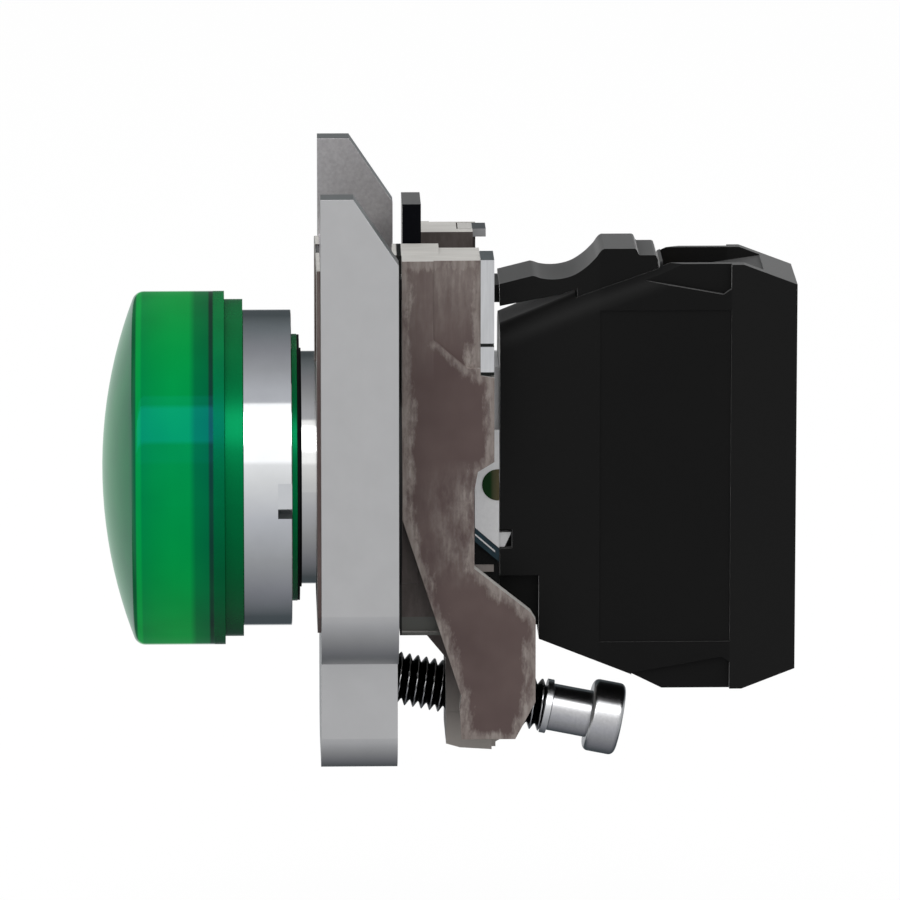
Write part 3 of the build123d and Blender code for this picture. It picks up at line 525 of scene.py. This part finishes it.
lens_finish = finish_of("clear green polycarbonate", clear_green_polycarbonate)
green_finish = finish_of("green polycarbonate", green_polycarbonate)
milky_finish = finish_of("milky polycarbonate", milky_polycarbonate)
chrome_finish = finish_of("bright chrome plate", bright_chrome)
neck_finish = finish_of("turned neck plate", turned_neck)
rubber_finish = finish_of("nitrile rubber", nitrile_rubber)
raw_zinc_finish = finish_of("raw zinc casting", raw_zinc_casting)
grey_zinc_finish = finish_of("grey coated zinc casting", grey_coated_zinc)
lever_finish = finish_of("black polyamide", black_polyamide)
block_finish = finish_of("black glass-filled polyamide", black_glass_filled_polyamide)
plated_finish = finish_of("zinc plated steel", zinc_plated_steel)
screw_finish = finish_of("zinc plated screw steel", screw_steel)
creased_finish = finish_of("creased plated strip", creased_steel)
let_in_finish = finish_of("let in plated strip", let_in_steel)
window_finish = finish_of("green window glass", window_glass)
teal_shade_finish = finish_of("teal painted shade", teal_painted_shade)
tab_finish = finish_of("nylon tab in painted shade", shaded_tab)
spring_finish = finish_of("spring steel", spring_steel)
pale_finish = finish_of("pale polyamide", pale_polyamide)
diode_finish = finish_of("green tinted epoxy", green_epoxy)
board_finish = finish_of("glass epoxy board", glass_epoxy_board)
resistor_finish = finish_of("lacquered film resistor", lacquered_film_resistor)
capacitor_finish = finish_of("dipped ceramic", dipped_ceramic)
brass_finish = finish_of("stamped brass", stamped_brass)

finish_by_node = {
    "lens_cap": lens_finish,
    "lens_carrier": green_finish,
    "diffuser": milky_finish,
    "bezel": chrome_finish,
    "locating_ring": green_finish,
    "panel_seal": rubber_finish,
    "neck_sleeve": neck_finish,
    "plate_facing": raw_zinc_finish,
    "clamp_plate": grey_zinc_finish,
    "collar_body": raw_zinc_finish,
    "locking_ring": lever_finish,
    "rail_strip_right": creased_finish,
    "rail_strip_left": let_in_finish,
    "clamp_screw": screw_finish,
    "screw_ring": plated_finish,
    "block_housing": block_finish,
    "block_cover": block_finish,
    "release_latch": block_finish,
    "latch_pin": spring_finish,
    "led_carrier": pale_finish,
    "led_tube": pale_finish,
    "led": diode_finish,
    "circuit_board": board_finish,
    "upper_resistor": resistor_finish,
    "lower_resistor": resistor_finish,
    "capacitor": capacitor_finish,
    "rectifier": lever_finish,
    "upper_terminal_bar": brass_finish,
    "lower_terminal_bar": brass_finish,
    "upper_clamp_washer": plated_finish,
    "lower_clamp_washer": plated_finish,
    "upper_terminal_screw": plated_finish,
    "lower_terminal_screw": plated_finish,
}
for node_name, finish in finish_by_node.items():
    mesh = nodes[node_name].data
    mesh.materials.clear()
    mesh.materials.append(finish)


def turned_rings(rings, sides):
    """A closed mesh round the screw's axis, from places along it and a radius or a radius function."""
    mesh = bmesh.new()
    across = Vector((1, 0, 0))
    up = across.cross(ALONG)
    loops = []
    for distance, radius in rings:
        loop = []
        for i in range(sides):
            angle = 2 * math.pi * i / sides
            r = radius(distance, angle) if callable(radius) else radius
            point = TIP + ALONG * distance + (across * math.cos(angle) + up * math.sin(angle)) * r
            loop.append(mesh.verts.new(point * MM))
        loops.append(loop)
    for first, second in zip(loops, loops[1:]):
        for i in range(sides):
            j = (i + 1) % sides
            mesh.faces.new((first[i], first[j], second[j], second[i]))
    mesh.faces.new(list(reversed(loops[0])))
    mesh.faces.new(loops[-1])
    bmesh.ops.recalc_face_normals(mesh, faces=mesh.faces)
    return mesh


def thread_radius(distance, angle):
    """Radius of a right-hand V thread, faded out at the screw's chamfered tip."""
    phase = (distance / PITCH + angle / (2 * math.pi)) % 1.0
    rise = 1 - abs(2 * phase - 1)
    crest = min(1.0, max(0.0, rise * 1.25 - 0.1))
    chamfer = 0.5
    limit = THREAD_R - max(0.0, chamfer - distance)
    return min(limit, ROOT_R + (THREAD_R - ROOT_R) * crest)


def piece_of(name, mesh, finish):
    """An object made from a bmesh, with its material."""
    data = bpy.data.meshes.new(name)
    mesh.to_mesh(data)
    mesh.free()
    made = bpy.data.objects.new(name, data)
    bpy.context.scene.collection.objects.link(made)
    if finish is not None:
        data.materials.append(finish)
    return made


def cross_cutter():
    """Two crossed blocks that cut the head's recess."""
    mesh = bmesh.new()
    turn = Matrix.Rotation(-TILT, 4, "X")
    centre = TIP + ALONG * (HEAD_START + HEAD_LEN)
    for size in ((CROSS_LEN, 2 * CROSS_DEPTH, CROSS_W), (CROSS_W, 2 * CROSS_DEPTH, CROSS_LEN)):
        made = bmesh.ops.create_cube(mesh, size=1.0)
        for vertex in made["verts"]:
            local = Vector([c * s for c, s in zip(vertex.co, size)])
            vertex.co = (centre + turn @ local) * MM
    return piece_of("cross_cutter", mesh, None)


def clamping_screw():
    """Threaded screw with a groove, a shank and a head with a cross recess."""
    rings_a_turn = 12
    steps = int(THREAD_LEN / PITCH * rings_a_turn)
    rings = [(THREAD_LEN * i / steps, thread_radius) for i in range(steps + 1)]
    groove_end = THREAD_LEN + GROOVE_LEN
    head_end = HEAD_START + HEAD_LEN
    rings += [
        (THREAD_LEN + 0.001, GROOVE_R), (groove_end, GROOVE_R),
        (groove_end + 0.001, SHANK_R - 0.05), (groove_end + 0.05, SHANK_R),
        (HEAD_START, SHANK_R),
    ]
    corner = 0.5
    for end, side in ((HEAD_START, 1), (head_end, -1)):
        turns = [i * math.pi / 12 for i in range(7)]
        arc = [
            (end + side * corner * (1 - math.cos(a)), HEAD_R - corner * (1 - math.sin(a))) for a in turns
        ]
        rings += arc if side > 0 else list(reversed(arc))
    screw = piece_of("clamping_screw", turned_rings(rings, 64), None)
    cutter = cross_cutter()
    cut = screw.modifiers.new("cross", "BOOLEAN")
    cut.object = cutter
    cut.operation = "DIFFERENCE"
    cut.solver = "EXACT"
    cut.use_self = True
    bpy.context.view_layer.update()
    evaluated = screw.evaluated_get(bpy.context.evaluated_depsgraph_get())
    screw.data = bpy.data.meshes.new_from_object(evaluated)
    screw.modifiers.clear()
    bpy.data.objects.remove(cutter)
    screw.data.materials.clear()
    screw.data.materials.append(screw_finish)
    for polygon in screw.data.polygons:
        middle = polygon.center / MM - TIP
        polygon.use_smooth = middle.dot(ALONG) > THREAD_LEN and polygon.normal.dot(ALONG) ** 2 < 0.97
    screw.data.set_sharp_from_angle(angle=math.radians(35))
    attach(screw, "clamp_bolt")
    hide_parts("clamp_screw")


def facing_notch_block():
    """Black block that fills the notch in the facing's top edge."""
    mesh = bmesh.new()
    bmesh.ops.create_cube(mesh, size=1.0)
    size = Vector((3.6, 0.26, 0.66))
    middle = Vector((2.75, 2.17, 18.4))
    for vertex in mesh.verts:
        vertex.co = (middle + Vector([c * s for c, s in zip(vertex.co, size)])) * MM
    bmesh.ops.bevel(mesh, geom=mesh.edges[:], offset=0.06 * MM, segments=2, affect="EDGES")
    key = piece_of("facing_notch_block", mesh, lever_finish)
    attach(key, "plate")


def block_of(name, low, high):
    """A plain block between two corners in millimetres, for cutting."""
    mesh = bmesh.new()
    bmesh.ops.create_cube(mesh, size=1.0)
    for vertex in mesh.verts:
        vertex.co = Vector([(a if c < 0 else b) * MM for c, a, b in zip(vertex.co, low, high)])
    return piece_of(name, mesh, None)


def side_slab(name, outline, x0, x1, finish):
    """A flat piece drawn in the side view (Y, Z), between two places along X."""
    mesh = bmesh.new()
    rows = [[mesh.verts.new(Vector((x, y, z)) * MM) for y, z in outline] for x in (x0, x1)]
    mesh.faces.new(rows[0])
    mesh.faces.new(list(reversed(rows[1])))
    for i in range(len(outline)):
        j = (i + 1) % len(outline)
        mesh.faces.new((rows[0][i], rows[1][i], rows[1][j], rows[0][j]))
    bmesh.ops.recalc_face_normals(mesh, faces=mesh.faces)
    return piece_of(name, mesh, finish)


def cut_by(piece, cutters):
    """Takes cutters away from a piece, and the cutters out of the scene."""
    for cutter in cutters:
        cut = piece.modifiers.new("cut", "BOOLEAN")
        cut.object = cutter
        cut.operation = "DIFFERENCE"
        cut.solver = "EXACT"
    bpy.context.view_layer.update()
    evaluated = piece.evaluated_get(bpy.context.evaluated_depsgraph_get())
    piece.data = bpy.data.meshes.new_from_object(evaluated)
    piece.modifiers.clear()
    for cutter in cutters:
        bpy.data.objects.remove(cutter)


def shade(piece, finish, degrees=30):
    """Smooth shading that breaks at real corners, and the piece's material."""
    data = piece.data
    if "custom_normal" in data.attributes:
        data.attributes.remove(data.attributes["custom_normal"])
    data.materials.clear()
    data.materials.append(finish)
    data.polygons.foreach_set("use_smooth", [True] * len(data.polygons))
    data.set_sharp_from_angle(angle=math.radians(degrees))


def shape_of(node_name, name):
    """An object of its own with a CAD node's mesh, to be worked on and shown in the node's place."""
    made = bpy.data.objects.new(name, nodes[node_name].data.copy())
    bpy.context.scene.collection.objects.link(made)
    return made


def collar_casting():
    """The collar with its sleeve cut flush with the legs' broad faces behind their front edge."""
    casting = shape_of("collar_body", "collar_casting")
    face_x, corner_x, beyond = 8.7, 7.5, 12.0
    front, rear, half_high = 8.93, 10.6, 8.0
    corner = [(front, -2.52), (8.95, -2.52), (10.9, -8.54), (front, -8.54)]
    cutters = [
        block_of("trim_near", (face_x, front, -half_high), (beyond, rear, half_high)),
        block_of("trim_far", (-beyond, front, -half_high), (-face_x, rear, half_high)),
        side_slab("corner_near", corner, corner_x, beyond, None),
        side_slab("corner_far", corner, -beyond, -corner_x, None),
    ]
    cut_by(casting, cutters)
    shade(casting, raw_zinc_finish)
    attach(casting, "head_and_block")
    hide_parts("collar_body")


def block_shells():
    """The light block's two shells with the upper rear corner left square, as the real one is."""
    rear, top = 41.2, 15.95
    slope_y, slope_z = 40.3, 14.7
    for node_name, name in (("block_cover", "cover_shell"), ("block_housing", "housing_shell")):
        shell = shape_of(node_name, name)
        for vertex in shell.data.vertices:
            if vertex.co.y > slope_y * MM and vertex.co.z > slope_z * MM:
                vertex.co.y = rear * MM
                vertex.co.z = min(vertex.co.z, top * MM)
        shade(shell, block_finish, 20)
        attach(shell, "head_and_block")
        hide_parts(node_name)


def chrome_ring():
    """Bezel with crisp edges and its two locating notches."""
    outer, seat, bore, front, edge = 12.95, 11.05, 9.65, -3.95, 0.05
    web_front, web_rear = -2.95, -0.6
    profile = [
        (seat, front), (outer - edge, front), (outer, front + edge), (outer, -edge), (outer - edge, 0.0),
        (seat, 0.0), (seat, web_rear), (bore, web_rear), (bore, web_front), (seat, web_front),
    ]
    sides = 240
    turns = [2 * math.pi * i / sides for i in range(sides)]
    mesh = bmesh.new()
    loops = []
    for radius, y in profile:
        points = [Vector((radius * math.cos(t), y, radius * math.sin(t))) for t in turns]
        loops.append([mesh.verts.new(point * MM) for point in points])
    for first, second in zip(loops, loops[1:] + loops[:1]):
        for i in range(sides):
            j = (i + 1) % sides
            mesh.faces.new((first[i], first[j], second[j], second[i]))
    bmesh.ops.recalc_face_normals(mesh, faces=mesh.faces)
    ring = piece_of("chrome_ring", mesh, None)
    floor_x, floor_y, half_w = 11.1, -1.15, 1.45
    notches = [
        block_of("notch_near", (floor_x, floor_y, -half_w), (14.0, 1.0, half_w)),
        block_of("notch_far", (-14.0, floor_y, -half_w), (-floor_x, 1.0, half_w)),
    ]
    cut_by(ring, notches)
    shade(ring, chrome_finish)
    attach(ring, "head_and_block")
    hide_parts("bezel")


def smooth_run(points, parts):
    """A curve through points in a plane, each stretch cut in parts."""
    run = []
    for i in range(1, len(points) - 2):
        a, b, c, d = (Vector(p) for p in points[i - 1:i + 3])
        for k in range(parts):
            t = k / parts
            run.append(0.5 * (
                2 * b + (c - a) * t + (2 * a - 5 * b + 4 * c - d) * t ** 2 + (3 * b - a - 3 * c + d) * t ** 3
            ))
    run.append(Vector(points[-2]))
    return [tuple(p) for p in run]


def thumb_latch():
    """The release latch with its scooped thumb rest as one smooth curve, and the hook in front.
    Heights are counted from the top of the block's shells, and each stretch is cut in six."""
    top = 17.6
    half_w, half_hook = 3.3, 2.4
    scoop = smooth_run([
        (27.0, 1.16), (25.5, 1.16), (24.78, 0.37), (24.05, -0.34), (23.11, -0.97), (22.17, -1.27),
        (21.23, -1.35), (20.4, -1.26), (19.64, -1.05), (18.6, -1.2),
    ], 6)
    side = [
        (17.0, -3.54), (21.97, -2.6), (23.3, -2.1), (23.4, -3.4), (27.7, -3.4), (28.6, -1.3),
        (29.83, -0.3), (29.88, 0.2), (29.75, 0.55), (29.6, 0.62), (28.4, 0.62), (28.3, 0.7),
        (28.14, 1.07), (28.0, 1.16),
    ] + scoop + [(16.98, -1.72)]
    latch = side_slab("thumb_latch", [(y, top + z) for y, z in side], -half_w, half_w, None)
    hook = block_of("latch_hook", (-half_hook, 16.2, top - 3.4), (half_hook, 17.5, top - 1.95))
    shade(latch, block_finish, 25)
    shade(hook, block_finish)
    for piece in (latch, hook):
        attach(piece, "latch")
    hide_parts("release_latch")


def holder_cheek():
    """Near cheek of the lamp holder, in front of the tube, with its round window, a teal strip and a black
    slab of painted shade below it, and the tab in painted shade. Each four-cornered plate is given by its
    rear end, its corners' heights, its faces along X and its finish."""
    front, rear = 14.95, 16.93
    plates = [
        ("holder_cheek", rear, (4.0, -4.1, -5.83, 4.0), 4.4, 4.7, pale_finish),
        # Teal strip of painted shade under the cheek
        ("holder_shade_strip", rear, (-4.15, -5.3, -7.0, -5.88), 4.3, 4.6, teal_shade_finish),
        ("holder_rib", 16.6, (-4.6, -4.75, -6.2, -6.05), 4.62, 4.7, pale_finish),
        # Black slab of painted shade over the recess below
        ("holder_well_shade", rear, (-5.35, -8.9, -8.9, -7.05), 4.0, 4.25, rubber_finish),
        # Tab grey in painted shade
        ("holder_tab", 16.5, (-7.29, -7.87, -7.87, -7.29), 4.3, 4.45, tab_finish),
    ]
    made = [
        side_slab(name, list(zip((front, front, end, end), heights)), x0, x1, finish)
        for name, end, heights, x0, x1, finish in plates
    ]
    centre_y, centre_z, radius, sides = 16.83, -0.53, 1.3, 64
    turns = [2 * math.pi * i / sides for i in range(sides)]
    disc = [(centre_y + radius * math.cos(t), centre_z + radius * math.sin(t)) for t in turns]
    window = [(rear, 0.76)] + [point for point in disc if point[0] < rear] + [(rear, -1.82)]
    made.append(side_slab("holder_window", window, 4.71, 4.75, window_finish))
    for slab in made:
        shade(slab, slab.data.materials[0])
        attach(slab, "head_and_block")


clamping_screw()
facing_notch_block()
collar_casting()
block_shells()
chrome_ring()
thumb_latch()
holder_cheek()


def studio_floor():
    """Pale floor below the part. The camera sees it as white, and the part's shadow falls on it."""
    data = bpy.data.meshes.new("studio_floor")
    half = 6.0
    z = -0.045
    corners = [(-half, -half, z), (half, -half, z), (half, half, z), (-half, half, z)]
    data.from_pydata(corners, [], [(0, 1, 2, 3)])
    floor = bpy.data.objects.new("studio_floor", data)
    bpy.context.scene.collection.objects.link(floor)

    def paper(tree):
        """White background paper."""
        lit = add(tree, "ShaderNodeBsdfDiffuse", {"Color": linear("#F4F4F4")})
        white = add(tree, "ShaderNodeEmission", {"Color": linear("#FFFFFF"), "Strength": 1.0})
        seen = add(tree, "ShaderNodeLightPath").outputs["Is Camera Ray"]
        share = levels(tree, seen, 0.0, 1.0, 0.0, 0.9)
        return add(tree, "ShaderNodeMixShader", {0: share, 1: lit.outputs[0], 2: white.outputs[0]})

    data.materials.append(finish_of("background paper", paper))
    floor.visible_glossy = False
    floor.visible_diffuse = False


def studio_world():
    """White behind the part. Metal and gloss see a room: a wide soft box at 16 to 60 degrees above
    the camera's side, brighter from 27 to 54, grey round it, and a dark wall behind the part."""
    world = bpy.data.worlds.new("studio")
    bpy.context.scene.world = world
    world.use_nodes = True
    tree = world.node_tree
    tree.nodes.clear()
    direction = add(tree, "ShaderNodeTexCoord").outputs["Generated"]
    parts = add(tree, "ShaderNodeSeparateXYZ", {"Vector": direction}).outputs
    light = add(tree, "ShaderNodeLightPath").outputs
    turn = product(tree, maths(tree, "ARCTAN2", parts["Z"], parts["X"]), 180 / math.pi)
    room = span(tree, turn, [
        (-180, "#42474A"), (-177, "#A8AAAC"), (-158, "#A8AAAC"), (-152, "#3C4347"), (-128, "#42484B"),
        (-91, "#737479"), (-60, "#8F9092"), (-27, "#ACADB1"), (2, "#CECECE"), (15, "#DDDDDD"),
        (16, "#FFFFFF"), (59, "#FFFFFF"), (60, "#ABACB0"), (70, "#A8A9AD"), (87, "#919295"),
        (107, "#7D7E82"), (132, "#63686B"), (159, "#43494B"), (180, "#42474A"),
    ])
    room_strength, box_strength = 1.28, 2.0
    front = levels(tree, maths(tree, "ABSOLUTE", parts["Y"]), 0.75, 0.97)
    room = blend(tree, front, room, linear("#B4B6B6"))
    box = product(tree, levels(tree, turn, 27, 30), levels(tree, turn, 54, 51))
    box = product(tree, box, maths(tree, "SUBTRACT", 1.0, front))
    bright = maths(tree, "ADD", room_strength, product(tree, box, box_strength))
    height = levels(tree, parts["Z"], -1.0, 1.0)
    soft = ramp(tree, height, [(0.0, "#808080"), (0.45, "#BCBCBC"), (0.6, "#E0E0E0"), (1.0, "#FFFFFF")])
    seen = strongest(tree, light["Is Camera Ray"], light["Is Transmission Ray"])
    glossy = light["Is Glossy Ray"]
    colour = blend(tree, glossy, soft, room)
    colour = blend(tree, seen, colour, linear("#FFFFFF"))
    extra = product(tree, levels(tree, glossy, 0.0, 1.0), maths(tree, "SUBTRACT", bright, 1.0))
    strength = maths(tree, "ADD", 1.0, extra)
    background = add(tree, "ShaderNodeBackground", {"Color": colour, "Strength": strength})
    add(tree, "ShaderNodeOutputWorld", {"Surface": background.outputs[0]})


def soft_box(name, at, size, power):
    """A square area lamp that points at the part and isn't seen in its metal."""
    lamp = bpy.data.lights.new(name, "AREA")
    lamp.size = size
    lamp.energy = power
    holder = bpy.data.objects.new(name, lamp)
    holder.location = at
    holder.rotation_euler = (Vector((0, 0.013, 0)) - Vector(at)).to_track_quat("-Z", "Y").to_euler()
    holder.visible_glossy = False
    bpy.context.scene.collection.objects.link(holder)


def camera():
    """Long lens at the photograph's angle: level with the side, a little above."""
    turn = math.radians(88.6)
    rise = math.radians(12.3)
    away = Vector((math.sin(turn) * math.cos(rise), -math.cos(turn) * math.cos(rise), math.sin(rise)))
    distance = 0.714
    target = Vector((0, 0.01303, 0.00137))
    lens = bpy.data.cameras.new("camera")
    lens.sensor_width = 36
    lens.lens = 348
    lens.clip_start = 0.01
    holder = bpy.data.objects.new("camera", lens)
    holder.location = target + away * distance
    holder.rotation_euler = away.to_track_quat("Z", "Y").to_euler()
    bpy.context.scene.collection.objects.link(holder)
    bpy.context.scene.camera = holder


studio_floor()
studio_world()
soft_box("key_light", (0.12, -0.1, 0.7), 0.6, 2.0)
camera()
bpy.context.scene.view_settings.view_transform = "Standard"
